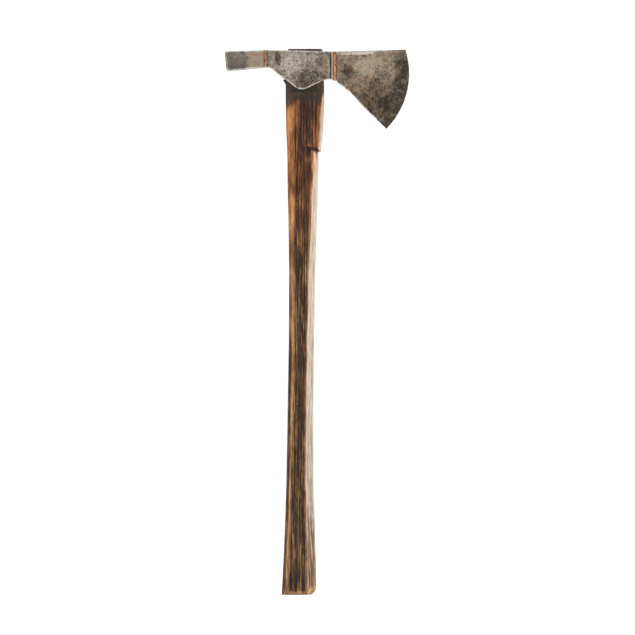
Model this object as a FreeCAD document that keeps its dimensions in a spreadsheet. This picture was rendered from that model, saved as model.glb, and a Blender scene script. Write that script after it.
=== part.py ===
"""Hammer-poll broad axe: a wooden haft through a forged eye block with langets. The poll and the blade are
joined to the block by tenons and copper.

Row frame: origin at the centre of the haft's butt end, +Z up the haft, +X towards the cutting edge, in
millimetres. The pieces of the head and the wedges are drawn in a head frame of their own: its origin is on
the axis of the eye, at the height of the haft's shoulder. Their Placement carries them there.
"""

import FreeCAD, Part
import math
import os

import Sketcher

# The driving dimensions, in millimetres and degrees. A haft station gives its height, how far the haft
# reaches behind and in front of the axis, and half of its depth from side to side.
HAFT_STATIONS = {
    "butt": (0.0, 22.6, 22.8, 15.5),
    "palm": (60.0, 19.5, 21.4, 14.2),
    "grip": (130.0, 16.9, 19.4, 13.0),
    "waist": (260.0, 14.4, 18.9, 12.0),
    "middle": (390.0, 12.9, 20.6, 12.0),
    "throat": (500.0, 14.2, 23.6, 12.8),
    "ledge": (579.0, 15.5, 26.0, 13.4),
    "lip": (579.0, 15.5, 28.9, 13.4),
    "shoulder": (625.0, 17.2, 32.4, 13.4),
    "neck": (669.0, 17.3, 32.5, 12.9),
}
STATION_SIZES = ("height", "behind", "front", "half_depth")

DRIVING_SIZES = {
    # haft
    "haft_length": 711.0,
    "back_facet": 4.4,
    "lip_facet": 4.2,
    "ledge_facet": 7.0,
    "butt_facet": 11.8,
    "facet_slope": 0.75,
    "butt_chamfer": 1.6,
    # eye of the head, measured from its own axis
    "eye_axis": 7.7,
    "eye_length": 45.6,
    "eye_depth": 25.0,
    # eye block
    "cheek_depth": 37.0,
    "cheek_back": 19.7,
    "cheek_front": 8.3,
    "block_back": 48.9,
    "block_front": 33.9,
    "back_blend": 2.7,
    "front_blend": 5.5,
    "top_back": 40.2,
    "top_front": 38.3,
    "block_groove": 1.8,
    "block_groove_run": 2.4,
    # necks, half their depth and their undersides
    "poll_neck": 11.2,
    "poll_underside": 17.8,
    "blade_neck": 12.2,
    "neck_underside": 2.2,
    "neck_arch": 16.0,
    # langets
    "langet_back": 45.5,
    "langet_root": 25.3,
    "langet_root_height": 1.2,
    "langet_tip": 5.7,
    "langet_drop": 14.5,
    "langet_tip_round": 15.0,
    "langet_bevel": 1.2,
    # poll
    "poll_end": 104.9,
    "poll_face_top": 38.5,
    "poll_face_underside": 12.9,
    "poll_face_tilt": 6.0,
    "poll_face_half_depth": 11.8,
    "poll_face_chamfer": 1.6,
    "poll_arris": 0.9,
    # tenons and the copper around them
    "poll_tenon": 14.0,
    "poll_tenon_end": 31.0,
    "blade_tenon_depth": 12.0,
    "blade_tenon_height": 24.0,
    "blade_tenon_end": 51.5,
    "copper_film": 0.5,
    "poll_band_width": 4.4,
    "blade_band_width": 5.0,
    "blade_band_underside": 0.7,
    "collar_width": 2.5,
    "collar_underside": 1.7,
    "collar_bevel": 0.9,
    # blade
    "blade_underside": 1.5,
    "beard_start": 71.8,
    "beard_drop": 29.0,
    "beard_curve": 110.0,
    "edge_centre": 32.9,
    "edge_centre_height": 10.0,
    "edge_curve": 103.2,
    "toe_angle": 17.65,
    "heel_angle": 44.7,
    "blade_blend_start": 44.0,
    "blade_blend_end": 68.0,
    "blade_mid": 7.0,
    "blade_thin": 2.9,
    "edge_bevel": 13.0,
    "edge_bevel_half": 4.0,
    "edge_half": 0.4,
    "blade_top_bevel": 1.3,
    # forge-welded steel of the cutting edge
    "bit_width": 17.0,
    "bit_tongue": 11.0,
    "bit_tongue_half": 1.1,
    # wedges
    "wedge_length": 43.0,
    "wedge_depth": 29.0,
    "wedge_head": 2.5,
    "wedge_tip": 0.7,
    "spike_width": 18.0,
    "spike_depth": 20.0,
    "spike_head": 1.5,
    "spike_tip": 0.4,
    "spike_offset": 6.0,
}

# Half the size of a cutting frame or of a long cut, larger than any piece.
FAR = 200.0

# How far a cut runs past what it cuts.
PAST = 1.0

# Places closer together than this are the same place.
NEAR = 0.01

document = FreeCAD.newDocument("broad_axe")
sizes = document.addObject("Spreadsheet::Sheet", "Sizes")


def fill_sheet():
    """Puts every driving dimension in the sheet, each under its own alias."""
    rows = dict(DRIVING_SIZES)
    for station, values in HAFT_STATIONS.items():
        for size, value in zip(STATION_SIZES, values):
            rows[f"{station}_{size}"] = value
    for row, (alias, value) in enumerate(rows.items(), start=1):
        sizes.set(f"A{row}", alias)
        sizes.set(f"B{row}", str(value))
        sizes.setAlias(f"B{row}", alias)
    document.recompute()


def bound(expression):
    """The expression with each alias written as a cell of the sheet."""
    words = "".join(c if c.isalnum() or c == "_" else " " for c in expression).split()
    aliases = {word for word in words if sizes.getCellFromAlias(word)}
    pieces = []
    word = ""
    for character in expression + " ":
        if character.isalnum() or character == "_":
            word += character
            continue
        pieces.append(f"Sizes.{word}" if word in aliases else word)
        pieces.append(character)
        word = ""
    return "".join(pieces).strip()


def number(expression):
    """What an expression of aliases comes to."""
    result = sizes.evalExpression(bound(expression))
    return float(getattr(result, "Value", result))


def make_body(label, in_head_frame=True):
    """An empty body, placed at the head's own origin unless it is drawn in the row frame."""
    body = document.addObject("PartDesign::Body", label)
    body.Label = label
    if in_head_frame:
        body.setExpression(".Placement.Base.x", bound("eye_axis"))
        body.setExpression(".Placement.Base.z", bound("neck_height"))
    return body


def make_sketch(body, name, role, offset="0"):
    """A sketch on one of the body's own origin planes, moved along the plane's normal by the offset."""
    sketch = body.newObject("Sketcher::SketchObject", f"{body.Name}_{name}")
    plane = next(feature for feature in body.Origin.OriginFeatures if feature.Role == role)
    sketch.AttachmentSupport = [(plane, "")]
    sketch.MapMode = "FlatFace"
    if offset != "0":
        sketch.setExpression(".AttachmentOffset.Base.z", bound(offset))
    return sketch


def arc_between(start, end, radius):
    """The arc from start to end: it turns left for a positive radius, right for a negative one."""
    chord = end - start
    half = chord.Length / 2
    left = FreeCAD.Vector(-chord.y, chord.x, 0).normalize()
    rise = math.sqrt(radius * radius - half * half)
    centre = (start + end) * 0.5 + left * math.copysign(rise, radius)
    first, last = (start, end) if radius > 0 else (end, start)
    angles = [math.atan2(point.y - centre.y, point.x - centre.x) for point in (first, last)]
    circle = Part.Circle(centre, FreeCAD.Vector(0, 0, 1), abs(radius))
    return Part.ArcOfCircle(circle, *angles)


def add_outline(sketch, corners, radii=None):
    """Closes an outline through the corners, each a pair of expressions for its place. A side whose number
    is in radii is an arc; its radius is negative where the arc turns right on the way round."""
    radii = radii or {}
    points = [FreeCAD.Vector(number(x), number(y), 0) for x, y in corners]
    ends = []
    for side, start in enumerate(points):
        end = points[(side + 1) % len(points)]
        if side in radii:
            turn = number(radii[side])
            geometry = sketch.addGeometry(arc_between(start, end, turn))
            ends.append((geometry, 1, 2) if turn > 0 else (geometry, 2, 1))
            constraint = sketch.addConstraint(Sketcher.Constraint("Radius", geometry, abs(turn)))
            sketch.setExpression(f"Constraints[{constraint}]", bound(f"abs({radii[side]})"))
        else:
            ends.append((sketch.addGeometry(Part.LineSegment(start, end)), 1, 2))
    for side, (geometry, first, _) in enumerate(ends):
        before, _, last = ends[side - 1]
        sketch.addConstraint(Sketcher.Constraint("Coincident", before, last, geometry, first))
        for kind, expression in zip(("DistanceX", "DistanceY"), corners[side]):
            datum = Sketcher.Constraint(kind, geometry, first, number(expression))
            constraint = sketch.addConstraint(datum)
            sketch.setExpression(f"Constraints[{constraint}]", bound(expression))


def rectangle(left, right, bottom, top):
    """The corners of a rectangle, from its lower left one, turning left."""
    return [(left, bottom), (right, bottom), (right, top), (left, top)]


def centred(half_width, bottom, top):
    """The corners of a rectangle that is symmetric about the vertical axis of the sketch."""
    return rectangle(f"-({half_width})", half_width, bottom, top)


def mirrored(half, radii=None):
    """A plan outline, symmetric about X, from the half of it on the +Y side, given from front to back."""
    corners = half + [(x, f"-({y})") for x, y in reversed(half)]
    last = len(corners) - 2
    turns = dict(radii or {})
    turns.update({last - side: radius for side, radius in (radii or {}).items()})
    return corners, turns


def pad(body, sketch, length, both_ways=False, reverse=False):
    """Pads a sketch by a length, or by half of it each way."""
    feature = body.newObject("PartDesign::Pad", f"{sketch.Name}_pad")
    feature.Profile = sketch
    feature.setExpression("Length", bound(length))
    feature.SideType = "Symmetric" if both_ways else "One side"
    feature.Reversed = reverse
    return feature


def cut(body, sketch, length, both_ways=False, reverse=False):
    """Pockets a sketch by a length, or by half of it each way, and stops if nothing was removed."""
    document.recompute()
    before = body.Shape.Volume
    feature = body.newObject("PartDesign::Pocket", f"{sketch.Name}_cut")
    feature.Profile = sketch
    feature.setExpression("Length", bound(length))
    feature.SideType = "Symmetric" if both_ways else "One side"
    feature.Reversed = reverse
    document.recompute()
    if body.Shape.Volume >= before:
        raise RuntimeError(f"{feature.Name} removed nothing")
    return feature


def trim_to_plan(body, half, radii=None):
    """Cuts away all that lies outside a plan outline, as seen from above."""
    sketch = make_sketch(body, "plan", "XY_Plane")
    add_outline(sketch, rectangle(str(-FAR), str(FAR), str(-FAR), str(FAR)))
    corners, turns = mirrored(half, radii)
    add_outline(sketch, corners, turns)
    cut(body, sketch, str(2 * FAR), both_ways=True)


def chamfer(body, edges, size, second_size=None):
    """Chamfers those edges of the body's last feature that pass the test."""
    document.recompute()
    base = body.Tip
    names = [f"Edge{i}" for i, edge in enumerate(base.Shape.Edges, start=1) if edges(edge)]
    if not names:
        raise RuntimeError(f"no edge to chamfer on {body.Label}")
    feature = body.newObject("PartDesign::Chamfer", f"{base.Name}_chamfer")
    feature.Base = (base, names)
    if second_size:
        feature.ChamferType = "Two distances"
        feature.setExpression("Size2", bound(second_size))
    feature.setExpression("Size", bound(size))
    document.recompute()
    return feature


def face_edges(axis, place):
    """A test for the edges in the plane at right angles to an axis, 0 for X to 2 for Z, at a place."""

    def lies_in_plane(edge):
        points = [edge.valueAt(edge.FirstParameter), edge.valueAt(edge.LastParameter), edge.CenterOfMass]
        return all(abs(point[axis] - place) < NEAR for point in points)

    return lies_in_plane


def haft_section(body, station, front_facet):
    """The faceted section of the haft at a station: broad facets at the front, narrow ones at the back."""
    behind, front, depth = (f"{station}_{size}" for size in STATION_SIZES[1:])
    front_flank = f"{depth} - facet_slope * ({front_facet})"
    back_flank = f"{depth} - back_facet"
    half = [
        (front, front_flank),
        (f"{front} - ({front_facet})", depth),
        (f"back_facet - {behind}", depth),
        (f"-{behind}", back_flank),
    ]
    sketch = make_sketch(body, station, "XY_Plane", f"{station}_height")
    add_outline(sketch, *mirrored(half))
    return sketch


def loft(body, sketches):
    """A smooth loft through sections, from the first to the last."""
    feature = body.newObject("PartDesign::AdditiveLoft", f"{sketches[0].Name}_loft")
    feature.Profile = sketches[0]
    feature.Sections = sketches[1:]
    document.recompute()
    return feature


def eye_outline(sketch, axis="0"):
    """The oval of the eye: straight sides and round ends, about an axis at the given place along X."""
    end = "eye_length / 2"
    bend = "(eye_length - eye_depth) / 2"
    side = "eye_depth / 2"
    corners = [
        (f"{axis} + {bend}", f"-{side}"),
        (f"{axis} + {end}", "0"),
        (f"{axis} + {bend}", side),
        (f"{axis} - {bend}", side),
        (f"{axis} - ({end})", "0"),
        (f"{axis} - {bend}", f"-{side}"),
    ]
    add_outline(sketch, corners, {0: side, 1: side, 3: side, 4: side})


def wedge_outline(half_head, half_tip, depth, axis="0", base="0"):
    """A wedge seen from its end, driven down from the top of the haft."""
    top = f"{base} + haft_length - neck_height"
    tip = f"{top} - {depth}"
    return [
        (f"{axis} - {half_tip}", tip),
        (f"{axis} + {half_tip}", tip),
        (f"{axis} + {half_head}", top),
        (f"{axis} - {half_head}", top),
    ]


def spike_outline(axis="0", base="0"):
    """The steel wedge seen from the side of the axe, off the middle of the eye."""
    return wedge_outline("spike_head", "spike_tip", "spike_depth", f"{axis} + spike_offset", base)


def make_haft():
    """Faceted haft: a swelled butt, a ledge at the front, a shoulder under the head and a split tongue."""
    body = make_body("haft", in_head_frame=False)
    names = list(HAFT_STATIONS)
    below = names[: names.index("lip")]
    above = names[names.index("lip") :]
    facet = "butt_facet + (ledge_facet - butt_facet) * {0}_height / ledge_height"
    loft(body, [haft_section(body, name, facet.format(name)) for name in below])
    loft(body, [haft_section(body, name, "lip_facet") for name in above])

    tongue = make_sketch(body, "tongue", "XY_Plane", "neck_height")
    eye_outline(tongue, "eye_axis")
    pad(body, tongue, "haft_length - neck_height")

    # Flats that the langets lie on.
    flats = make_sketch(body, "flats", "YZ_Plane", f"-{FAR}")
    bottom = f"neck_height - langet_drop - {PAST}"
    top = "neck_height"
    add_outline(flats, rectangle("eye_depth / 2", "cheek_depth", bottom, top))
    add_outline(flats, rectangle("-cheek_depth", "-eye_depth / 2", bottom, top))
    cut(body, flats, str(2 * FAR), reverse=True)

    kerf = make_sketch(body, "kerf", "YZ_Plane", "eye_axis")
    add_outline(kerf, wedge_outline("wedge_head", "wedge_tip", "wedge_depth", base="neck_height"))
    cut(body, kerf, "2 * eye_length", both_ways=True)
    slit = make_sketch(body, "slit", "XZ_Plane")
    add_outline(slit, spike_outline("eye_axis", "neck_height"))
    cut(body, slit, "spike_width", both_ways=True)

    chamfer(body, face_edges(2, 0.0), "butt_chamfer")
    return body


def make_wood_wedge():
    """Wooden wedge along the eye, slit by the steel one."""
    body = make_body("wood_wedge")
    profile = make_sketch(body, "profile", "YZ_Plane")
    add_outline(profile, wedge_outline("wedge_head", "wedge_tip", "wedge_depth"))
    pad(body, profile, "wedge_length", both_ways=True)
    slit = make_sketch(body, "slit", "XZ_Plane")
    add_outline(slit, spike_outline())
    cut(body, slit, "spike_width", both_ways=True)
    return body


def make_steel_wedge():
    """Steel wedge across the wooden one."""
    body = make_body("steel_wedge")
    profile = make_sketch(body, "profile", "XZ_Plane")
    add_outline(profile, spike_outline())
    pad(body, profile, "spike_width", both_ways=True)
    return body


def blend_radius(run, rise):
    """The radius of two equal arcs that join two parallel lines in an S, a run apart along them."""
    return f"(({run})^2 + ({rise})^2) / (4 * ({rise}))"


def poll_tenon_outline(clearance="0"):
    """The section of the poll's tenon, or of the socket around it."""
    middle = "(top_back + poll_underside) / 2"
    half = f"(poll_tenon / 2 + {clearance})"
    return centred(half, f"{middle} - {half}", f"{middle} + {half}")


def blade_tenon_outline(clearance="0"):
    """The section of the block's front tenon, or of the socket around it."""
    middle = "(top_front + neck_underside) / 2"
    half_height = f"(blade_tenon_height / 2 + {clearance})"
    half_depth = f"(blade_tenon_depth / 2 + {clearance})"
    return centred(half_depth, f"{middle} - {half_height}", f"{middle} + {half_height}")


def make_eye_block():
    """Eye block: oval eye, bulged cheeks, two langets, a socket behind and a tenon in front."""
    body = make_body("eye_block")
    side = make_sketch(body, "side", "XZ_Plane")
    corners = [
        ("-block_back", "poll_underside"),
        ("-langet_back", "poll_underside"),
        ("-langet_tip", "-langet_drop"),
        ("langet_root", "langet_root_height"),
        ("block_front", "neck_underside"),
        ("block_front", "top_front"),
        ("-block_back", "top_back"),
    ]
    add_outline(side, corners, {3: "-neck_arch"})
    pad(body, side, "cheek_depth", both_ways=True)
    round_langet_tips(body)
    bevel_langets(body)

    half = [
        ("block_front", "blade_neck - block_groove"),
        ("block_front - block_groove_run", "blade_neck"),
        ("block_front - front_blend", "blade_neck"),
        ("(block_front - front_blend + cheek_front) / 2", "(blade_neck + cheek_depth / 2) / 2"),
        ("cheek_front", "cheek_depth / 2"),
        ("-cheek_back", "cheek_depth / 2"),
        ("-(block_back - back_blend + cheek_back) / 2", "(poll_neck + cheek_depth / 2) / 2"),
        ("back_blend - block_back", "poll_neck"),
        ("-block_back", "poll_neck"),
    ]
    front = blend_radius("block_front - front_blend - cheek_front", "cheek_depth / 2 - blade_neck")
    back = blend_radius("block_back - back_blend - cheek_back", "cheek_depth / 2 - poll_neck")
    trim_to_plan(body, half, {2: f"-({front})", 3: front, 5: back, 6: f"-({back})"})

    eye = make_sketch(body, "eye", "XY_Plane")
    eye_outline(eye)
    cut(body, eye, "2 * top_back", reverse=True)
    gap = make_sketch(body, "gap", "YZ_Plane")
    add_outline(gap, centred("eye_depth / 2", "-2 * langet_drop", "0"))
    cut(body, gap, "2 * block_back", both_ways=True)

    socket = make_sketch(body, "socket", "YZ_Plane", "-block_back")
    add_outline(socket, poll_tenon_outline("copper_film"))
    cut(body, socket, "block_back - poll_tenon_end + copper_film", reverse=True)
    tenon = make_sketch(body, "tenon", "YZ_Plane", "block_front")
    add_outline(tenon, blade_tenon_outline())
    pad(body, tenon, "blade_tenon_end - block_front")
    return body


def round_langet_tips(body):
    """Rounds the point of the langets' outline."""
    document.recompute()
    base = body.Tip
    tip = FreeCAD.Vector(-number("langet_tip"), 0, -number("langet_drop"))
    names = [
        f"Edge{i}"
        for i, edge in enumerate(base.Shape.Edges, start=1)
        if (edge.CenterOfMass - tip).Length < NEAR
    ]
    feature = body.newObject("PartDesign::Fillet", "langet_tip_fillet")
    feature.Base = (base, names)
    feature.setExpression("Radius", bound("langet_tip_round"))
    document.recompute()


def bevel_langets(body):
    """Bevels the outer edges of the langets."""
    cheek = number("cheek_depth / 2")

    def outer_langet_edge(edge):
        box = edge.BoundBox
        on_cheek = box.YLength < NEAR and abs(abs(box.YMin) - cheek) < NEAR
        return on_cheek and box.ZMin < 0 and box.ZLength > 0

    chamfer(body, outer_langet_edge, "langet_bevel")


def make_hammer_poll():
    """Square bar with a slightly tilted, chamfered striking face and a tenon for the eye block."""
    body = make_body("hammer_poll")
    band_back = "block_back + poll_band_width"
    fall = "(top_back - poll_face_top) / (poll_end - block_back)"
    rise = "(poll_underside - poll_face_underside) / (poll_end - block_back)"
    tilt = "(poll_face_top - poll_face_underside) * tan(poll_face_tilt)"
    side = make_sketch(body, "side", "XZ_Plane")
    corners = [
        (f"{tilt} - poll_end", "poll_face_underside"),
        (f"-({band_back})", f"poll_underside - {rise} * poll_band_width"),
        (f"-({band_back})", f"top_back - {fall} * poll_band_width"),
        ("-poll_end", "poll_face_top"),
    ]
    add_outline(side, corners)
    pad(body, side, "cheek_depth", both_ways=True)
    trim_to_plan(body, [(f"-({band_back})", "poll_neck"), ("-poll_end", "poll_face_half_depth")])

    def striking_edge(edge):
        return edge.BoundBox.XMax < number(f"{tilt} - poll_end") + NEAR

    chamfer(body, striking_edge, "poll_face_chamfer")

    def long_edge(edge):
        return edge.BoundBox.XLength > number("poll_end - block_back") / 2

    chamfer(body, long_edge, "poll_arris")
    tenon = make_sketch(body, "tenon", "YZ_Plane", f"-({band_back})")
    add_outline(tenon, poll_tenon_outline())
    pad(body, tenon, f"{band_back} - poll_tenon_end")
    return body


def make_joint_copper(
    label, outline, hole, band_start, band_width, sleeve_start, sleeve_length, sleeve_outline
):
    """Copper of a tenon joint: a band around the neck and a thin sleeve around the tenon in its socket."""
    body = make_body(label)
    band = make_sketch(body, "band", "YZ_Plane", band_start)
    add_outline(band, outline)
    add_outline(band, hole)
    pad(body, band, band_width)
    sleeve = make_sketch(body, "sleeve", "YZ_Plane", sleeve_start)
    add_outline(sleeve, sleeve_outline)
    add_outline(sleeve, hole)
    pad(body, sleeve, sleeve_length)
    return body


def make_poll_copper():
    """Copper between the hammer poll and the eye block."""
    return make_joint_copper(
        "poll_copper",
        centred("poll_neck", "poll_underside", "top_back"),
        poll_tenon_outline(),
        "-block_back - poll_band_width",
        "poll_band_width",
        "-block_back",
        "block_back - poll_tenon_end",
        poll_tenon_outline("copper_film"),
    )


def make_neck_collar():
    """Narrow steel collar in front of the eye block, bevelled towards the groove behind it."""
    body = make_body("neck_collar")
    ring = make_sketch(body, "ring", "YZ_Plane", "block_front")
    add_outline(ring, centred("blade_neck", "collar_underside", "top_front"))
    add_outline(ring, blade_tenon_outline())
    pad(body, ring, "collar_width")
    back = number("block_front")
    hole = number("blade_tenon_depth / 2")
    in_back_face = face_edges(0, back)

    def outer_back_edge(edge):
        box = edge.BoundBox
        return in_back_face(edge) and max(box.YMax, -box.YMin) > hole + NEAR

    chamfer(body, outer_back_edge, "collar_bevel")
    return body


def make_blade_copper():
    """Copper between the collar and the blade."""
    start = "block_front + collar_width"
    return make_joint_copper(
        "blade_copper",
        centred("blade_neck", "blade_band_underside", "top_front"),
        blade_tenon_outline(),
        start,
        "blade_band_width",
        f"{start} + blade_band_width",
        f"blade_tenon_end - {start} - blade_band_width",
        blade_tenon_outline("copper_film"),
    )


def make_blade_blank():
    """The whole blade, iron and steel together, with its cutting bevels."""
    body = make_body("blade_blank")
    start = "block_front + collar_width + blade_band_width"
    side = make_sketch(body, "side", "XZ_Plane")
    corners = [
        (start, "-blade_underside"),
        ("beard_start", "-beard_drop"),
        ("edge_centre + edge_curve * cos(heel_angle)", "edge_centre_height - edge_curve * sin(heel_angle)"),
        ("edge_centre + edge_curve * cos(toe_angle)", "edge_centre_height + edge_curve * sin(toe_angle)"),
        (start, "top_front"),
    ]
    add_outline(side, corners, {0: "-beard_curve", 2: "edge_curve"})
    pad(body, side, "cheek_depth", both_ways=True)

    far_edge = f"edge_centre + edge_curve + {PAST}"
    half = [
        (far_edge, "blade_thin"),
        ("blade_blend_end", "blade_mid"),
        ("(blade_blend_end + blade_blend_start) / 2", "(blade_mid + blade_neck) / 2"),
        ("blade_blend_start", "blade_neck"),
        (start, "blade_neck"),
    ]
    blend = blend_radius("blade_blend_end - blade_blend_start", "blade_neck - blade_mid")
    trim_to_plan(body, half, {1: f"-({blend})", 2: blend})

    def top_edge(edge):
        box = edge.BoundBox
        past_blend = box.XMin > number("blade_blend_end") - NEAR
        return past_blend and box.ZMin > number("top_front") and box.XLength > number("blade_mid")

    chamfer(body, top_edge, "blade_top_bevel")
    grind_edge(body)
    return body


def grind_edge(body):
    """Grinds both bevels of the cutting edge, along its curve."""
    document.recompute()
    before = body.Shape.Volume
    sketch = make_sketch(body, "bevel", "XY_Plane", "edge_centre_height")
    sketch.setExpression(".AttachmentOffset.Base.x", bound("edge_centre"))
    slope = "(edge_bevel_half - edge_half) / edge_bevel"
    beyond = "edge_bevel"
    for sign in ("", "-"):
        corners = [
            ("edge_curve - edge_bevel", f"{sign}edge_bevel_half"),
            (f"edge_curve + {beyond}", f"{sign}(edge_half - {slope} * {beyond})"),
            (f"edge_curve + {beyond}", f"{sign}3 * edge_bevel_half"),
            ("edge_curve - edge_bevel", f"{sign}3 * edge_bevel_half"),
        ]
        add_outline(sketch, corners if sign == "" else list(reversed(corners)))
    groove = body.newObject("PartDesign::Groove", "edge_grind")
    groove.Profile = sketch
    groove.ReferenceAxis = (sketch, ["V_Axis"])
    groove.Angle = 360
    document.recompute()
    if body.Shape.Volume >= before:
        raise RuntimeError("the edge was not ground")


def make_blade_core():
    """A disc about the centre of the edge's curve, with a groove in its rim: it divides the blade's iron
    from its steel, whose tongue fills the groove."""
    body = make_body("blade_core")
    sketch = make_sketch(body, "profile", "XY_Plane", "edge_centre_height")
    sketch.setExpression(".AttachmentOffset.Base.x", bound("edge_centre"))
    rim = "edge_curve - bit_width"
    floor = f"{rim} - bit_tongue"
    corners = [
        ("0", "-2 * blade_neck"),
        (rim, "-2 * blade_neck"),
        (rim, "-bit_tongue_half"),
        (floor, "-bit_tongue_half"),
        (floor, "bit_tongue_half"),
        (rim, "bit_tongue_half"),
        (rim, "2 * blade_neck"),
        ("0", "2 * blade_neck"),
    ]
    add_outline(sketch, corners)
    feature = body.newObject("PartDesign::Revolution", "core_turn")
    feature.Profile = sketch
    feature.ReferenceAxis = (sketch, ["V_Axis"])
    feature.Angle = 360
    document.recompute()
    return body


def make_socket_plug():
    """The space of the blade's socket, as a solid."""
    body = make_body("socket_plug")
    start = "block_front + collar_width + blade_band_width"
    sketch = make_sketch(body, "profile", "YZ_Plane", start)
    add_outline(sketch, blade_tenon_outline("copper_film"))
    pad(body, sketch, f"blade_tenon_end - {start}")
    return body


def combine(kind, label, base, tool):
    """A boolean of two objects, under its own label."""
    result = document.addObject(f"Part::{kind}", label)
    result.Base = base
    result.Tool = tool
    result.Label = label
    return result


def make_blade_and_bit():
    """The iron of the blade, with its socket and cleft, and the steel bit along the cutting edge."""
    blank = make_blade_blank()
    core = make_blade_core()
    iron = combine("Common", "blade_iron", blank, core)
    blade = combine("Cut", "blade", iron, make_socket_plug())
    bit = combine("Cut", "edge_bit", blank, core)
    return [blade, bit]


def check(nodes):
    """Stops on a failed object, or on a sub-part whose shape is not one valid solid."""
    for item in document.Objects:
        if "Invalid" in item.State or "Error" in item.State:
            raise RuntimeError(f"{item.Name} failed: {item.State}")
    for node in nodes:
        shape = node.Shape
        if shape.isNull() or not shape.isValid() or len(shape.Solids) != 1:
            raise RuntimeError(f"{node.Label} is not one valid solid")


def main():
    """Builds every sub-part, checks them all and writes one file for each."""
    fill_sheet()
    nodes = [
        make_haft(),
        make_wood_wedge(),
        make_steel_wedge(),
        make_eye_block(),
        make_hammer_poll(),
        make_poll_copper(),
        make_neck_collar(),
        make_blade_copper(),
    ]
    nodes += make_blade_and_bit()
    document.recompute()
    check(nodes)
    os.makedirs("parts", exist_ok=True)
    for node in nodes:
        node.Shape.exportStep(f"parts/{node.Label}.step")
        print(f"{node.Label}: {node.Shape.Volume / 1000:.1f} cm3, {node.Shape.BoundBox}")


main()
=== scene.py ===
"""Looks of a hammer-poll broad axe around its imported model. Lengths are in metres, in the row frame."""

import math
from itertools import product

import bpy
import numpy as np
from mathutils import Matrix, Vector
from mathutils.bvhtree import BVHTree
from mathutils.kdtree import KDTree


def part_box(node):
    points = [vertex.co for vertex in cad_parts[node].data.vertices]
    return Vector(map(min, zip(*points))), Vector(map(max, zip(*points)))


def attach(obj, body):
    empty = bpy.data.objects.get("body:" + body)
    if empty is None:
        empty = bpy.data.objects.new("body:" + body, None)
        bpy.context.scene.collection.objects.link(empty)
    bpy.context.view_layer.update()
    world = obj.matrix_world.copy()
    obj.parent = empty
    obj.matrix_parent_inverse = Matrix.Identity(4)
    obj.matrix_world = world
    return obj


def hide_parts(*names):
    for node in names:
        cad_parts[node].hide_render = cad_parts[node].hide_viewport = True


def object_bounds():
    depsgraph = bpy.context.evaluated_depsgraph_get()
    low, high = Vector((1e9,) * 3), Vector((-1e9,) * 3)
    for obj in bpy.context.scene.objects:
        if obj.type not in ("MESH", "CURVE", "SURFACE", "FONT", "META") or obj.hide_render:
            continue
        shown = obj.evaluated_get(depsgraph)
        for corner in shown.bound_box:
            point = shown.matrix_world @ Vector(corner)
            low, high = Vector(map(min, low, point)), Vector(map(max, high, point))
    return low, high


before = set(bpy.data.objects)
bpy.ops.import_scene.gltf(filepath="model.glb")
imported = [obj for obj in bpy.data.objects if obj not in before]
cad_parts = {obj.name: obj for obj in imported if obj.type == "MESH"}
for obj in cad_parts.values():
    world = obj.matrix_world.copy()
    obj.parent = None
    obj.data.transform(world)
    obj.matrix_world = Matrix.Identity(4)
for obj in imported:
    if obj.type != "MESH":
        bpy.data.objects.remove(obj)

MM = 0.001
CAD_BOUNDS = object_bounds()

# Where the axis of the eye is along X, to a micrometre: the wooden wedge is in the middle of the eye.
EYE_AXIS = round(sum(corner[0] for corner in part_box("wood_wedge")) / 2, 6)

# Near a joint, over this reach, the wear on arrises dies out and dirt gathers on the copper.
JOINT_REACH = 2.0 * MM

# ---------------------------------------------------------------- numbers and noise

# Primes that scramble a lattice point's place and the noise's seed into the number of a gradient.
PRIMES = (73856093, 19349663, 83492791)
SEED_PRIME = 7919
LAST_PRIME = 1274126177
NOISE_GAIN = 1.6
GRADIENTS = np.random.default_rng(11).normal(size=(256, 3))
GRADIENTS /= np.linalg.norm(GRADIENTS, axis=1)[:, None]


def noise(points, size, seed=0):
    """Gradient noise of about -1 to 1 at each point. size is how wide its features are, along each axis."""
    scaled = points / np.asarray(size)
    cell = np.floor(scaled)
    part = scaled - cell
    fade = part**3 * (part * (part * 6 - 15) + 10)
    cell = cell.astype(np.int64)
    total = np.zeros(len(points))
    for corner in product((0, 1), repeat=3):
        lattice = cell + corner
        key = (lattice * PRIMES).sum(axis=1) + seed * SEED_PRIME
        key = (key ^ (key >> 13)) * LAST_PRIME
        gradient = GRADIENTS[(key ^ (key >> 16)) & 255]
        weight = np.where(corner, fade, 1 - fade).prod(axis=1)
        total += weight * (gradient * (part - corner)).sum(axis=1)
    return total * NOISE_GAIN


def layered(points, size, layers, seed=0):
    """Noise with finer layers on top, each half as wide and half as strong as the last."""
    size = np.asarray(size)
    return sum(noise(points, size / 2**i, seed + 31 * i) / 2**i for i in range(layers))


def ramp(values, low, high):
    """0 below low, 1 above high and a smooth rise between them. high may be the lower one."""
    t = np.clip((values - low) / (high - low), 0, 1)
    return t * t * (3 - 2 * t)


def bump(values, middle, width):
    """1 at the middle, falling to 0 at a width to either side."""
    return 1 - ramp(np.abs(values - middle), 0, width)


# ---------------------------------------------------------------- meshes


def read(collection, name, width, kind=np.float32):
    """A property of every vertex or edge as an array, one row for each."""
    values = np.empty(len(collection) * width, dtype=kind)
    collection.foreach_get(name, values)
    return values.reshape(-1, width)


def points_of(piece):
    """Where the piece's vertices are."""
    return read(piece.data.vertices, "co", 3).astype(float)


def normals_of(piece):
    """Which way the surface faces at each vertex."""
    return read(piece.data.vertex_normals, "vector", 3).astype(float)


def move_points(piece, points):
    """Puts the piece's vertices at the points."""
    piece.data.vertices.foreach_set("co", points.astype(np.float32).ravel())
    piece.data.update()


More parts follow.
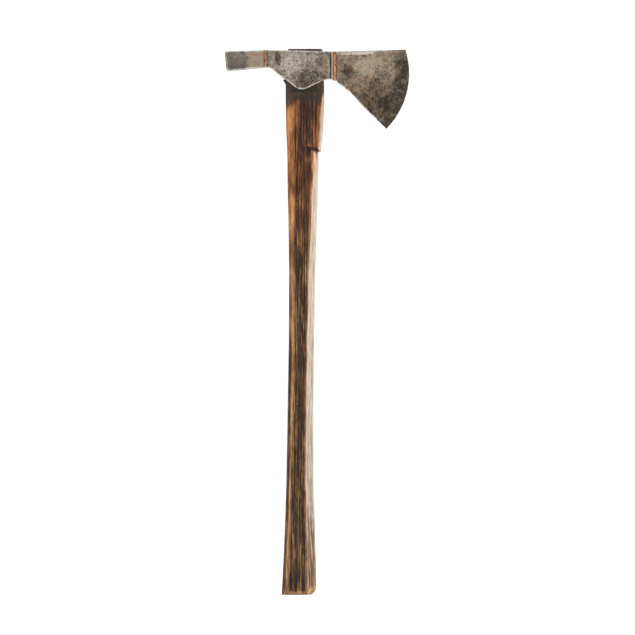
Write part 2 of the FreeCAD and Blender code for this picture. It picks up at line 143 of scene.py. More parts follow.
def store(piece, **layers):
    """Keeps arrays of one number for each vertex as attributes that the materials read."""
    for name, values in layers.items():
        attribute = piece.data.attributes.new(name, "FLOAT", "POINT")
        attribute.data.foreach_set("value", np.asarray(values, dtype=np.float32))


def neighbour_mean(piece, values):
    """The mean of each vertex's neighbours."""
    edges = read(piece.data.edges, "vertices", 2, np.int32)
    count = np.bincount(edges.ravel(), minlength=len(values))
    values = values.reshape(len(values), -1)
    means = [
        np.bincount(edges[:, 0], column[edges[:, 1]], len(count))
        + np.bincount(edges[:, 1], column[edges[:, 0]], len(count))
        for column in values.T
    ]
    return np.stack(means, axis=1) / np.maximum(count, 1)[:, None]


def convexity(piece, rounds=4):
    """How far each vertex stands out of its surroundings: positive on arrises, negative in grooves."""
    points = points_of(piece)
    around = points
    for _ in range(rounds):
        around = neighbour_mean(piece, around)
    height = ((points - around) * normals_of(piece)).sum(axis=1)
    return neighbour_mean(piece, height)[:, 0]


def cad_surface(node):
    """The surface of a CAD node, for rays and distances."""
    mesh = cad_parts[node].data
    return BVHTree.FromPolygons([v.co for v in mesh.vertices], [f.vertices for f in mesh.polygons])


def joint_mask(points, *nodes):
    """0 where a point touches one of the CAD nodes, 1 from a little way off."""
    mask = np.ones(len(points))
    for node in nodes:
        tree = cad_surface(node)
        off = [tree.find_nearest(point, JOINT_REACH)[3] for point in points.tolist()]
        off = np.array([JOINT_REACH if distance is None else distance for distance in off])
        mask = np.minimum(mask, ramp(off, 0.3 * JOINT_REACH, 0.9 * JOINT_REACH))
    return mask


def new_piece(name, mesh, *nodes, slot):
    """Puts a mesh in the scene in place of CAD nodes."""
    piece = bpy.data.objects.new(name, mesh)
    bpy.context.scene.collection.objects.link(piece)
    mesh.shade_smooth()
    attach(piece, "root")
    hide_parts(*nodes)
    return piece


def fine_mesh(node, voxel):
    """The CAD node's solid as an even, fine mesh."""
    source = bpy.data.objects.new("remesh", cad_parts[node].data.copy())
    bpy.context.scene.collection.objects.link(source)
    remesh = source.modifiers.new("voxels", "REMESH")
    remesh.mode = "VOXEL"
    remesh.voxel_size = voxel
    evaluated = source.evaluated_get(bpy.context.evaluated_depsgraph_get())
    mesh = bpy.data.meshes.new_from_object(evaluated)
    bpy.data.objects.remove(source)
    mesh.materials.clear()
    return mesh


def fine_piece(node, voxel, slot):
    """A finer mesh of a CAD node, in the node's place."""
    return new_piece(f"{node}_detail", fine_mesh(node, voxel), node, slot=slot)


def pits(points, random, places, width, depth):
    """How deep each point lies in round pits of uneven sizes around the given places."""
    tree = KDTree(len(points))
    for index, point in enumerate(points):
        tree.insert(point, index)
    tree.balance()
    sunk = np.zeros(len(points))
    for place in places:
        radius = width * random.uniform(0.5, 1.2)
        deep = depth * random.uniform(0.4, 1.0)
        for _, index, distance in tree.find_range(place, radius):
            sunk[index] = max(sunk[index], deep * (1 - (distance / radius) ** 2))
    return sunk


# ---------------------------------------------------------------- material graphs


class Graph:
    """A short way to write a material's nodes. Positions are the row frame's, in metres."""

    def __init__(self, name):
        self.material = bpy.data.materials.new(name)
        self.material.use_nodes = True
        self.tree = self.material.node_tree
        self.shader = self.tree.nodes["Principled BSDF"]
        self.place = self.tree.nodes.new("ShaderNodeTexCoord").outputs["Object"]

    def feed(self, socket, value):
        """Links another node's output to a socket, or sets the socket's own value."""
        if isinstance(value, bpy.types.NodeSocket):
            self.tree.links.new(value, socket)
        else:
            socket.default_value = value

    def node(self, kind, inputs=(), **settings):
        """A node with its settings, and its inputs fed in order by name or number."""
        made = self.tree.nodes.new(kind)
        for name, value in settings.items():
            setattr(made, name, value)
        for key, value in dict(inputs).items():
            self.feed(made.inputs[key], value)
        return made

    def maths(self, operation, first, second=0.0, clamp=False):
        """The result of an operation on two values."""
        made = self.node("ShaderNodeMath", {0: first, 1: second}, operation=operation, use_clamp=clamp)
        return made.outputs[0]

    def noise(self, width, stretch=(1, 1, 1), detail=4.0, roughness=0.55, warp=0.0):
        """Noise with features of a width in metres, drawn out along each axis by the stretch."""
        scale = tuple(1 / (width * s) for s in stretch)
        mapped = self.node("ShaderNodeMapping", {"Vector": self.place, "Scale": scale})
        inputs = {"Vector": mapped.outputs[0], "Scale": 1.0, "Detail": detail, "Roughness": roughness}
        made = self.node("ShaderNodeTexNoise", {**inputs, "Distortion": warp}, noise_dimensions="3D")
        return made.outputs["Fac"]

    def total(self, *values):
        """The sum of several values."""
        result = values[0]
        for value in values[1:]:
            result = self.maths("ADD", result, value)
        return result

    def mean(self, first, second, share):
        """The mean of two values, with the second one's share of it."""
        return self.total(self.maths("MULTIPLY", first, 1 - share), self.maths("MULTIPLY", second, share))

    def layer(self, name, share=None):
        """An attribute stored on the mesh, or a share of it."""
        value = self.node("ShaderNodeAttribute", attribute_name=name).outputs["Fac"]
        return value if share is None else self.maths("MULTIPLY", value, share)

    def remap(self, value, low, high, to_low=0.0, to_high=1.0):
        """A smooth change from to_low, where the value is low, to to_high, where it is high."""
        inputs = {"Value": value, "From Min": low, "From Max": high, "To Min": to_low, "To Max": to_high}
        return self.node("ShaderNodeMapRange", inputs, interpolation_type="SMOOTHSTEP").outputs["Result"]

    def mix(self, factor, first, second, blend="MIX"):
        """The second colour over the first. Sockets 6 and 7 are the node's colours."""
        inputs = {"Factor": factor, 6: first, 7: second}
        return self.node("ShaderNodeMix", inputs, data_type="RGBA", blend_type=blend).outputs[2]

    def colours(self, value, *stops):
        """A colour for each value, from pairs of a position and a colour."""
        made = self.node("ShaderNodeValToRGB", {"Fac": value})
        elements = made.color_ramp.elements
        for position, colour in stops[1:-1]:
            elements.new(position).color = colour
        elements[0].position, elements[0].color = stops[0]
        elements[len(stops) - 1].position, elements[len(stops) - 1].color = stops[-1]
        return made.outputs["Color"]

    def finish(self, colour, roughness, height, depth, **fixed):
        """Feeds the shader. height is a bump map of 0 to 1, depth its relief in metres."""
        relief = self.node("ShaderNodeBump", {"Height": height, "Distance": depth})
        self.feed(self.shader.inputs["Base Color"], colour)
        self.feed(self.shader.inputs["Roughness"], roughness)
        self.feed(self.shader.inputs["Normal"], relief.outputs["Normal"])
        for name, value in fixed.items():
            self.feed(self.shader.inputs[name.replace("_", " ")], value)
        return self.material


SCREEN_GAMMA = 2.2


def rgb(red, green, blue):
    """A colour given as it looks on a screen, 0 to 255, as the shader's linear light."""
    linear = [(c / 255) ** SCREEN_GAMMA for c in (red, green, blue)]
    return (*linear, 1.0)


# ---------------------------------------------------------------- haft

# The haft's grid: its columns go round, its rows up. The rows are about 1.3 mm apart, closer at the butt.
HAFT_COLUMNS = 160
ROWS_BELOW_LEDGE = 440
ROWS_ABOVE_LEDGE = 70
BUTT_ROWS = np.array([0.0, 0.2, 0.5, 0.9]) * MM
FIRST_ROW = 1.4 * MM
CAP_RINGS = 12
CAP_HOLLOW = 0.12 * MM

# The haft's top stays a little below the CAD's, and its arris there is rounded over a height and a depth.
TOP_GAP = 0.5 * MM
TOP_BEND = 1.2 * MM
TOP_ROUND = 0.7 * MM

# Rays that look for the ledge and the shoulder start above the butt's chamfer and stop below the kerf.
RAY_START = 5 * MM
RAY_STEP = 0.25 * MM
BELOW_KERF = 0.955

# Half of the height over which the haft's outline steps at the ledge and at the shoulder.
TORN = 0.15 * MM

CRACK_COUNT = 40


class HaftSampler:
    """Measures the CAD haft with rays, from a line up its middle."""

    def __init__(self):
        self.low, self.high = (np.array(corner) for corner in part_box("haft"))
        self.tree = cad_surface("haft")
        self.outside = self.high[0] - self.low[0]
        heights = np.arange(self.low[2] + RAY_START, BELOW_KERF * self.high[2], RAY_STEP)
        steps = np.diff([self.reach(height, 0.0) for height in heights])
        self.ledge = heights[np.argmax(steps)] + RAY_STEP / 2
        self.shoulder = heights[np.argmin(steps)] + RAY_STEP / 2
        above = self.ledge + 2 * MM
        self.ledge_front = self.middle(above) + self.reach(above, 0.0)

    def middle(self, height):
        """Where the line up the middle is along X: it moves forward from the butt to the eye."""
        return EYE_AXIS * height / self.high[2]

    def reach(self, height, angle):
        """How far the haft reaches from the line, at a height and towards an angle."""
        way = Vector((math.cos(angle), math.sin(angle), 0))
        start = Vector((self.middle(height), 0, height)) + way * self.outside
        return self.outside - self.tree.ray_cast(start, -way)[3]


def grain_noise(points, across, along, seed, layers=1):
    """Noise drawn out along the haft, with features of a width and a length in millimetres."""
    return layered(points, np.array([across, across, along]) * MM, layers, seed)


def haft_heights(sampler):
    """The heights of the grid's rows, close together at the butt, the ledge, the shoulder and the top."""
    butt = sampler.low[2] + BUTT_ROWS
    below = np.linspace(sampler.low[2] + FIRST_ROW, sampler.ledge - TORN, ROWS_BELOW_LEDGE)
    above = np.linspace(sampler.ledge + TORN, sampler.shoulder - TORN, ROWS_ABOVE_LEDGE)
    top = sampler.high[2] - TOP_GAP
    root = sampler.shoulder + TORN
    tongue = [root, (sampler.shoulder + top) / 2, top - TOP_BEND, top - TOP_BEND / 3, top]
    return np.concatenate([butt, below, above, tongue])


def haft_grid(sampler):
    """The haft's surface as rows of points, with rounded arrises and a rounded butt."""
    heights = haft_heights(sampler)
    angles = np.linspace(0, 2 * math.pi, HAFT_COLUMNS, endpoint=False)
    sampled = np.clip(heights, sampler.low[2] + 1.8 * MM, sampler.shoulder + 2 * MM)
    reach = np.array([[sampler.reach(height, angle) for angle in angles] for height in sampled])
    for _ in range(2):
        reach = (np.roll(reach, 1, axis=1) + 2 * reach + np.roll(reach, -1, axis=1)) / 4

    # The butt's arris is rounded, most of all at the front.
    radius = MM * (2.0 + 8.0 * ramp(np.cos(angles), 0.5, 0.95))
    up = np.minimum(heights[:, None] - sampler.low[2], radius)
    reach -= radius - np.sqrt(radius**2 - (radius - up) ** 2)
    top = heights[-1]
    reach -= (TOP_ROUND * ramp(heights, top - TOP_BEND, top))[:, None]
    rows, columns = np.meshgrid(heights, angles, indexing="ij")
    return rows, columns, reach


def wood_cracks(points, across, random):
    """How far each point lies in a crack: fine ones run up the haft and wander a little."""
    crack = np.zeros(len(points))
    top = points[:, 2].max()
    for _ in range(CRACK_COUNT):
        middle = random.uniform(0.05, 0.86) * top
        half = random.uniform(0.02, 0.09) * top
        side = random.uniform(0, 2 * math.pi)
        wander = 0.06 * np.sin(points[:, 2] / (random.uniform(14, 30) * MM))
        off = np.abs((across - side - wander + math.pi) % (2 * math.pi) - math.pi)
        line = random.uniform(0.4, 1) * (1 - ramp(off, 0.0, 0.05))
        crack = np.maximum(crack, line * bump(points[:, 2], middle, half))
    return crack


def wood_relief(points, crack):
    """Relief of old worn wood at each point, in metres."""
    grain = grain_noise(points, 2.4, 90, seed=1, layers=3)
    waves = grain_noise(points, 9, 60, seed=5)
    dents = ramp(grain_noise(points, 7, 34, seed=9, layers=2), 0.45, 1.1)
    return MM * (0.10 * grain + 0.2 * waves - 0.2 * dents) - 0.5 * MM * crack


def tear_ledge(points, out, heights, sampler, across):
    """Tears the ledge: its lip runs unevenly, low at the front, and the wood under it is scooped out."""
    front = np.cos(across)
    under = (heights < sampler.ledge) * ramp(heights, sampler.ledge - 16 * MM, sampler.ledge)
    scoop = 0.9 * under * ramp(points[:, 0], 7 * MM, 12 * MM) * ramp(front, 0.95, 0.8)
    points -= out * (scoop * MM)[:, None]
    near = bump(heights, sampler.ledge, 26 * MM)
    lip = 4.6 * ramp(front, 0.9, 0.4) - 1.6 * bump(front, 0.88, 0.12)
    ragged = grain_noise(points, 2.4, 400, seed=21)
    points[:, 2] += MM * near * (lip + 0.9 * ragged) * ramp(front, 0.1, 0.35)
    return points


def plane_corner(points, sampler):
    """Widens the front facets above the ledge, most of all at the ledge."""
    rows = points.reshape(-1, HAFT_COLUMNS, 3)
    height = rows[:, :, 2] - sampler.ledge
    depth = np.abs(rows[:, :, 1]).max(axis=1, keepdims=True)
    start = sampler.ledge_front - 4.9 * MM + 0.07 * height
    limit = depth - 0.75 * np.maximum(rows[:, :, 0] - start, 0)
    above = (height > 0) & (rows[:, :, 2] < sampler.shoulder) & (rows[:, :, 0] > start)
    flat = np.minimum(np.abs(rows[:, :, 1]), np.maximum(limit, 0)) * np.sign(rows[:, :, 1])
    rows[:, :, 1] = np.where(above, flat, rows[:, :, 1])
    return rows.reshape(-1, 3)


def swell_shoulder(points, out, heights, sampler, across):
    """Wood that the head has pushed out and up at the back of the shoulder."""
    back = ramp(np.cos(across), -0.8, -0.95) * (heights < sampler.shoulder)
    swelling = 3.4 * MM * back * bump(heights, sampler.shoulder - 0.8 * MM, 4.5 * MM)
    points = points + out * swelling[:, None]
    points[:, 2] += 0.55 * swelling
    return points


def haft_faces(row_count):
    """The quads between the grid's rows."""
    index = np.arange(row_count * HAFT_COLUMNS).reshape(row_count, HAFT_COLUMNS)
    after = np.roll(index, -1, axis=1)
    quads = np.stack([index[:-1], after[:-1], after[1:], index[1:]], axis=-1).reshape(-1, 4)
    return quads.tolist()


def add_cap(points, faces, rim, upward):
    """Closes the grid with rings that shrink from a rim row to its middle."""
    centre = points[rim].mean(axis=0)
    ring = rim
    for step in range(1, CAP_RINGS):
        share = 1 - step / CAP_RINGS
        start = len(points)
        inner = centre + (points[rim] - centre) * share
        points = np.concatenate([points, inner])
        fresh = np.arange(start, start + HAFT_COLUMNS)
        faces += band(ring, fresh, upward)
        ring = fresh
    points = np.concatenate([points, centre[None]])
    hub = len(points) - 1
    for first, second in zip(ring, np.roll(ring, -1)):
        faces.append([first, second, hub] if upward else [second, first, hub])
    return points, faces


def band(outer, inner, upward):
    """The quads between two rings."""
    quads = []
    for a, b, c, d in zip(outer, np.roll(outer, -1), np.roll(inner, -1), inner):
        quads.append([a, b, c, d] if upward else [d, c, b, a])
    return quads


def haft_shape(sampler):
    """The haft's points, their heights before the ledge was torn and how far each one lies in a crack."""
    rows, columns, reach = haft_grid(sampler)
    heights = rows.ravel()
    across = columns.ravel()
    middle = sampler.middle(rows)
    axes = (middle + reach * np.cos(columns), reach * np.sin(columns), rows)
    points = plane_corner(np.stack(axes, axis=-1).reshape(-1, 3), sampler)
    crack = wood_cracks(points, across, np.random.default_rng(3))
    relief = wood_relief(points, crack)
    worn = ramp(points[:, 2], 0, 4 * MM) * ramp(points[:, 2], sampler.shoulder, sampler.shoulder - 8 * MM)
    out = np.stack([np.cos(across), np.sin(across), np.zeros(len(across))], axis=-1)
    points += out * (relief * worn)[:, None]
    points = swell_shoulder(points, out, heights, sampler, across)
    points = tear_ledge(points, out, heights, sampler, across)
    return points, heights, crack * worn


def build_haft(sampler):
    """The haft as an even grid over the CAD's, with grain, cracks, worn arrises and a torn ledge."""
    points, heights, crack = haft_shape(sampler)
    count = len(points)
    faces = haft_faces(count // HAFT_COLUMNS)
    points, faces = add_cap(points, faces, np.arange(HAFT_COLUMNS), upward=False)
    points, faces = add_cap(points, faces, np.arange(count - HAFT_COLUMNS, count), upward=True)
    points[count:, 2] += CAP_HOLLOW * np.where(points[count:, 2] > sampler.ledge, -1, 1)
    mesh = bpy.data.meshes.new("haft_detail")
    mesh.from_pydata(points.tolist(), [], [[int(i) for i in face] for face in faces])
    piece = new_piece("haft_detail", mesh, "haft", slot="haft_wood")
    facing = normals_of(piece)[:, 0]
    for _ in range(2):
        facing = neighbour_mean(piece, facing)[:, 0]
    crack = np.concatenate([crack, np.zeros(len(points) - count)])
    heights = np.concatenate([heights, points[count:, 2]])
    worn = np.clip(convexity(piece, 3) / (0.022 * MM), -1, 1)
    worn *= 1 - bump(heights, sampler.ledge, 4 * MM) * ramp(points[:, 0], 4 * MM, 8 * MM)
    store(piece, crack=crack, worn=worn, **haft_zones(points, heights, facing, sampler))
    return piece


def haft_zones(points, heights, facing, sampler):
    """Where the haft is stained, pale, dark or red-brown, and where shadow, shade and sheen are painted on
    it, from places in millimetres. facing is how far the surface faces the front, heights are those before
    the ledge was torn."""
    x, y, z = (points / MM).T
    ledge = sampler.ledge / MM
    shoulder = sampler.shoulder / MM
    ragged = grain_noise(points, 2.2, 30, seed=40)
    uneven = grain_noise(points, 9, 9, seed=43)
    place = (x, z, ledge, facing, ragged, uneven)

    # The dark band under the head: oil stain, and partly painted shadow of the head.
    arch = 7 * ramp(np.abs(x - 7), 7, 20) - 14 * ramp(facing, 0.3, 0.6)
    stain_and_shadow = ramp(z + arch + 2.5 * ragged + 2 * uneven, shoulder - 29, shoulder - 22)
    orange = bump(z + 6 * ragged, shoulder - 53, 25) * bump(x + 3 * ragged + 2 * uneven, -7, 13)
    corner = bump(z + 4 * uneven, ledge + 14, 18) * bump(x + 2 * ragged, 24.5, 3.5)
    orange = np.maximum(orange, 0.35 * corner)
    # Painted highlight: the right-facing facet is made paler, standing in for the right softbox's sheen on
    # it, over wood weathered grey there.
    facet_sheen = ramp(facing + 0.1 * ragged + 0.05 * uneven, 0.3, 0.6)
    facet_sheen *= 1 - 0.85 * ramp(z + 18 * uneven + 24 * ragged, 140, 50)
    facet_sheen *= (1 - 0.8 * stain_and_shadow) * (1 - 0.15 * ramp(z, 0.5 * ledge, 0.3 * ledge))
    rubbed = bump(facing, -0.32, 0.3) * ramp(z + 30 * uneven, 0.8 * ledge, 0.5 * ledge)
    rubbed *= 0.7 + 0.5 * ragged
    return {
        "stain_and_shadow": stain_and_shadow,
        # Painted shadow: a dark line just under the ledge's lip.
        "lip": 0.85 * bump(heights / MM, ledge - 0.7, 1.5) * ramp(x, 7.5, 12),
        "pale": pale_wood(*place, orange, rubbed, y < 0),
        "facet_sheen": facet_sheen,
        "side": ramp(facing, 0.86, 0.97),
        "dark": dark_wood(*place, orange, rubbed),
        "red": ramp(z + 30 * uneven, 0.66 * ledge, 0.95 * ledge),
    }


def pale_wood(x, z, ledge, facing, ragged, uneven, orange, rubbed, near_side):
    """Wood rubbed golden behind the middle, along an arris, around the butt and in two scratches."""
    gold = ramp(x + 3 * ragged, -3, -9) * ramp(facing, -0.75, -0.4)
    gold *= bump(z + 30 * uneven, 0.55 * ledge, 0.45 * ledge)
    gold *= 1 - 0.8 * bump(z, 0.55 * ledge, 0.18 * ledge)
    butt = ramp(z + 6 * ragged, 17, 1)
    scratch = np.zeros(len(x))
    across = x + 2.6
    for height, slope in ((0.43 * ledge, 0.35), (0.3 * ledge, -0.2)):
        line = z - height - slope * across + 0.12 * across**2
        scratch = np.maximum(scratch, bump(line, 0, 0.9) * bump(across, 0, 5) * near_side)
    upper = 0.16 * ramp(z, 400, 520)
    return np.clip(0.9 * orange + 0.2 * gold + 0.8 * rubbed + 0.5 * butt + scratch + upper, 0, 1)


def dark_wood(x, z, ledge, facing, ragged, uneven, orange, rubbed):
    """Wood darkened by hands and dirt: a stripe up each side and patches around the ledge, with painted
    shade down the back and along its upper edge, and painted shadow under the ledge.
    """
    stripe = bump(x - 2.5 + 2.2 * ragged, 1, 11) * ramp(np.abs(facing), 0.5, 0.2)
    stripe *= 0.4 + 0.6 * bump(z + 30 * uneven, 0.5 * ledge, 0.42 * ledge)
    upper = ramp(z, ledge - 70, ledge + 6) * ramp(x + 2 * uneven, -6, 6) * (1 - orange)
    upper += 0.7 * bump(z, ledge + 12, 24) * ramp(x + 2 * uneven, 6, 13)
    # Painted shadow: the front of the wood just under the ledge is darkened.
    upper += 1.8 * bump(z, ledge - 5, 17) * ramp(x + 2 * uneven, 3, 9) * ramp(facing, 0.5, 0.2)
    # Painted shade: in the lower haft, the surfaces that face the back, away from the right softbox, are
    # darkened.
    back = ramp(facing, -0.3, -0.65) * ramp(z, 0.75 * ledge, 0.45 * ledge)
    lower = 0.12 * ramp(z, 0.6 * ledge, 0.35 * ledge)
    lower += 0.22 * ramp(z + 20 * uneven, 60, 25) * ramp(z, 3, 8)
    lower += 0.35 * bump(z + 9 * uneven, 0.55 * ledge, 0.22 * ledge) * ramp(x + ragged, -4, -8)
    lower += 0.5 * ramp(z, 150, 80) * ramp(x + ragged, -8, -12) * (1 - rubbed)
    # Painted shade: the back edge above the ledge is darkened.
    lower += 0.3 * ramp(z, ledge - 10, ledge + 20) * ramp(x, -13, -17)
    lower += 0.3 * ramp(z, 60, 20) * ramp(x, 10, 16)
    return np.clip(0.75 * stripe + 0.32 * upper + 0.9 * back + lower, 0, 1)


RED_TINT = rgb(255, 206, 168)
# Pale grey of weathered wood, used as the painted sheen on the right-facing facet.
WORN_AND_SHEEN_GREY = rgb(172, 160, 146)
DULL_GREY = rgb(92, 88, 84)
# Dark of the oil stain under the head, also used as painted shadow of the head.
HEAD_STAIN_AND_SHADOW = rgb(44, 38, 32)
# Black of the cracks, also used as painted shadow under the ledge's lip.
CRACK_AND_SHADOW_BLACK = rgb(16, 11, 8)


def wood_material():
    """Old oiled wood: brown-black and golden streaks, pale worn arrises, a dark stain under the head that
    is partly painted shadow of the head, a painted sheen on the right-facing facet and a painted shadow
    under the ledge's lip.
    """
    graph = Graph("haft_wood")
    streak = graph.noise(1.5 * MM, (1, 1, 19), detail=6, roughness=0.68, warp=0.08)
    fibre = graph.noise(0.7 * MM, (1, 1, 9), detail=4, roughness=0.7, warp=0.1)
    patch = graph.noise(9 * MM, (1, 1, 4), detail=4, roughness=0.6, warp=0.2)
    speck = graph.noise(1.1 * MM, (1, 1, 4), detail=3)
    value = graph.total(
        graph.remap(streak, 0.3, 0.7, 0.0, 0.3),
        graph.remap(fibre, 0.3, 0.7, 0.0, 0.24),
        graph.remap(patch, 0.32, 0.68, 0.0, 0.34),
        graph.layer("dark", -0.27),
        graph.layer("pale", 0.32),
        graph.layer("facet_sheen", 0.2),
        graph.layer("worn", 0.26),
    )
    colour = graph.colours(
        value,
        (0.05, rgb(24, 18, 12)),
        (0.25, rgb(48, 33, 20)),
        (0.45, rgb(82, 57, 35)),
        (0.62, rgb(118, 85, 53)),
        (0.80, rgb(152, 118, 78)),
        (1.00, rgb(188, 156, 114)),
    )
    colour = graph.mix(graph.layer("red", 0.85), colour, RED_TINT, "MULTIPLY")
    # Painted sheen: the right-facing facet is mixed towards pale grey.
    grey = graph.maths("MULTIPLY", graph.layer("facet_sheen"), graph.remap(streak, 0.34, 0.6, 0.3, 0.98))
    colour = graph.mix(grey, colour, WORN_AND_SHEEN_GREY)
    colour = graph.mix(graph.layer("side", 0.6), colour, DULL_GREY)
    # Oil stain under the head, partly painted shadow of the head.
    stain_and_shadow = graph.maths("MULTIPLY", graph.layer("stain_and_shadow"), graph.remap(speck, 0.2, 0.7, 0.98, 0.8))
    colour = graph.mix(stain_and_shadow, colour, HEAD_STAIN_AND_SHADOW)
    # Cracks are dark. The line under the ledge's lip is painted shadow.
    cracks_and_lip_shadow = graph.maths("MAXIMUM", graph.layer("crack", 0.85), graph.layer("lip"))
    colour = graph.mix(cracks_and_lip_shadow, colour, CRACK_AND_SHADOW_BLACK)
    roughness = graph.remap(fibre, 0.3, 0.7, 0.42, 0.62)
    height = graph.mean(fibre, streak, 0.5)
    return graph.finish(colour, roughness, height, 0.5 * MM, Specular_IOR_Level=0.25)


# ---------------------------------------------------------------- head

# A weight so small that hardly any pit is put there.
NO_PITS = 1e-6

# The cutting edge is an arc in the blade's plane. Its radius and how high its centre is above the shoulder.
EDGE_RADIUS = 103.2 * MM
EDGE_CENTRE_HEIGHT = 10 * MM


def head_places(points, shoulder):
    """Points in millimetres from the eye's axis, at the height of the haft's shoulder."""
    return (points - np.array([EYE_AXIS, 0, shoulder])) / MM


def spot(places, x, z, width, height, seed=0):
    """1 inside a soft-edged blotch around a place on the head's side, 0 outside."""
    wobble = 0.35 * noise(places, 7, seed) + 0.2 * noise(places, 2.5, seed + 1)
    off = np.hypot((places[:, 0] - x) / width, (places[:, 2] - z) / height) + wobble
    return ramp(off, 1.25, 0.55)


def forge(piece, seed, *touching, dent=0.16, grain=0.05):
    """Gives a piece the uneven surface of hammered and weathered iron. Returns its points, its normals and
    its arrises, apart from those where it touches other nodes."""
    points = points_of(piece)
    normals = normals_of(piece)
    arris = np.clip(convexity(piece, 7) / (0.16 * MM), -1, 1) * joint_mask(points, *touching)
    relief = dent * noise(points, 9 * MM, seed) + 0.5 * dent * noise(points, 4 * MM, seed + 2)
    relief += grain * layered(points, 1.6 * MM, 2, seed + 4)
    relief -= dent + 0.08 * np.clip(arris, 0, 1)
    points = np.clip(points + normals * (relief * MM)[:, None], *CAD_BOUNDS)
    move_points(piece, points)
    return points, normals, arris


def add_pits(piece, points, normals, seed, count, weight, width, deepest):
    """Sinks pits into the piece, most where the weight is greatest. Returns how deep each point sank."""
    random = np.random.default_rng(seed)
    chosen = random.choice(len(points), size=count, p=weight / weight.sum())
    depth = pits(points, random, points[chosen], width, deepest)
    move_points(piece, points - normals * depth[:, None])
    return depth


def build_eye_block(shoulder):
    """Eye block with langets: hammered cheeks, heavy pitting, pale bevels."""
    piece = fine_piece("eye_block", 0.55 * MM, "eye_iron")
    points, normals, arris = forge(piece, 50, "poll_copper", "neck_collar", "haft")
    places = head_places(points, shoulder)
    cheeks = ramp(np.abs(normals[:, 1]), 0.4, 0.8)
    tip = spot(places, -2, -6, 9, 7)
    dark = spot(places, 3, 4, 19, 11, 60)
    light = spot(places, -13, 23, 22, 13, 63)
    weight = cheeks * (0.25 + 1.2 * dark + 0.8 * light) * (1 - tip) + NO_PITS
    depth = add_pits(piece, points, normals, 17, 1500, weight, width=0.8 * MM, deepest=0.3 * MM)
    tone = 0.1 + 0.28 * light - 0.34 * dark - 0.2 * tip
    tone -= 0.36 * spot(places, -35, 27, 5, 11, 66) + 0.28 * spot(places, 19, 26, 5, 9, 69)
    tone -= 0.25 * spot(places, 22, 6, 6, 4, 72)
    warm = 0.25 + 0.7 * ramp(places[:, 0], 10, 22) + 0.6 * ramp(places[:, 0], -36, -46)
    store(piece, tone=tone, pit=depth / (0.3 * MM), arris=arris, warm=warm)
    return piece


def build_hammer_poll(shoulder):
    """Hammer poll: smooth grey striking end, browner and paler towards the copper."""
    piece = fine_piece("hammer_poll", 0.5 * MM, "poll_iron")
    points, normals, arris = forge(piece, 80, "poll_copper", dent=0.12)
    places = head_places(points, shoulder)
    even = np.ones(len(points))
    depth = add_pits(piece, points, normals, 19, 90, even, width=0.7 * MM, deepest=0.16 * MM)
    end = ramp(places[:, 0] + 3 * noise(places, 9, 83), -72, -80)
    tone = 0.3 - 0.46 * end - 0.3 * spot(places, -74, 30, 4, 3, 86) - 0.14 * spot(places, -64, 22, 6, 4, 88)
    streak = bump(places[:, 2] - 0.5 * noise(places, 5, 90), 34, 1.4) * ramp(places[:, 0], -76, -62)
    warm = 0.8 * (1 - end)
    store(piece, tone=tone, pit=depth / (0.16 * MM), arris=arris, warm=warm, braze=0.7 * streak)
    return piece


def build_blade(shoulder):
    """Iron of the blade: lighter in the middle, dark near the neck and the heel, with clusters of pits."""
    piece = fine_piece("blade", 0.5 * MM, "blade_iron")
    points, normals, arris = forge(piece, 110, "blade_copper", "edge_bit", dent=0.13)
    places = head_places(points, shoulder)
    bevel = bevel_top(points, normals, places)
    tone, warm, weight = blade_tones(places, normals)
    weight *= 1 - 0.8 * bevel
    depth = add_pits(piece, points, normals, 23, 360, weight, width=0.95 * MM, deepest=0.34 * MM)
    # The top bevel is paler and bare-looking: partly worn bare metal, partly painted highlight where the
    # upturned bevel catches the light.
    arris = np.maximum(arris, bevel)
    store(piece, tone=tone + 0.34 * bevel, pit=depth / (0.3 * MM), arris=arris, warm=warm)
    return piece


def build_edge_bit(shoulder):
    """Steel of the cutting edge: finer, but with the same dents and stains as the iron where they meet."""
    piece = fine_piece("edge_bit", 0.4 * MM, "edge_steel")
    points, normals, arris = forge(piece, 110, "blade", dent=0.13)
    places = head_places(points, shoulder)
    tone, warm, weight = blade_tones(places, normals)
    weight += 0.1
    depth = add_pits(piece, points, normals, 29, 130, weight, width=0.7 * MM, deepest=0.16 * MM)
    store(piece, tone=tone, pit=depth / (0.3 * MM), arris=0.5 * arris, warm=warm)
    return piece


def bevel_top(points, normals, places):
    """Moves the points into a broad bevel along the blade's top that dies out towards the cutting edge.
    Returns how far each point lies in it."""
    share = ramp(places[:, 2] + 0.6 * noise(places, 6, 120), 32.6, 37.5) * ramp(places[:, 0], 102, 62)
    points[:, 1] -= 1.3 * MM * share * np.sign(points[:, 1]) * ramp(np.abs(normals[:, 1]), 0.2, 0.6)
    return ramp(share, 0.03, 0.3) * ramp(np.abs(normals[:, 1]), 0.1, 0.5)


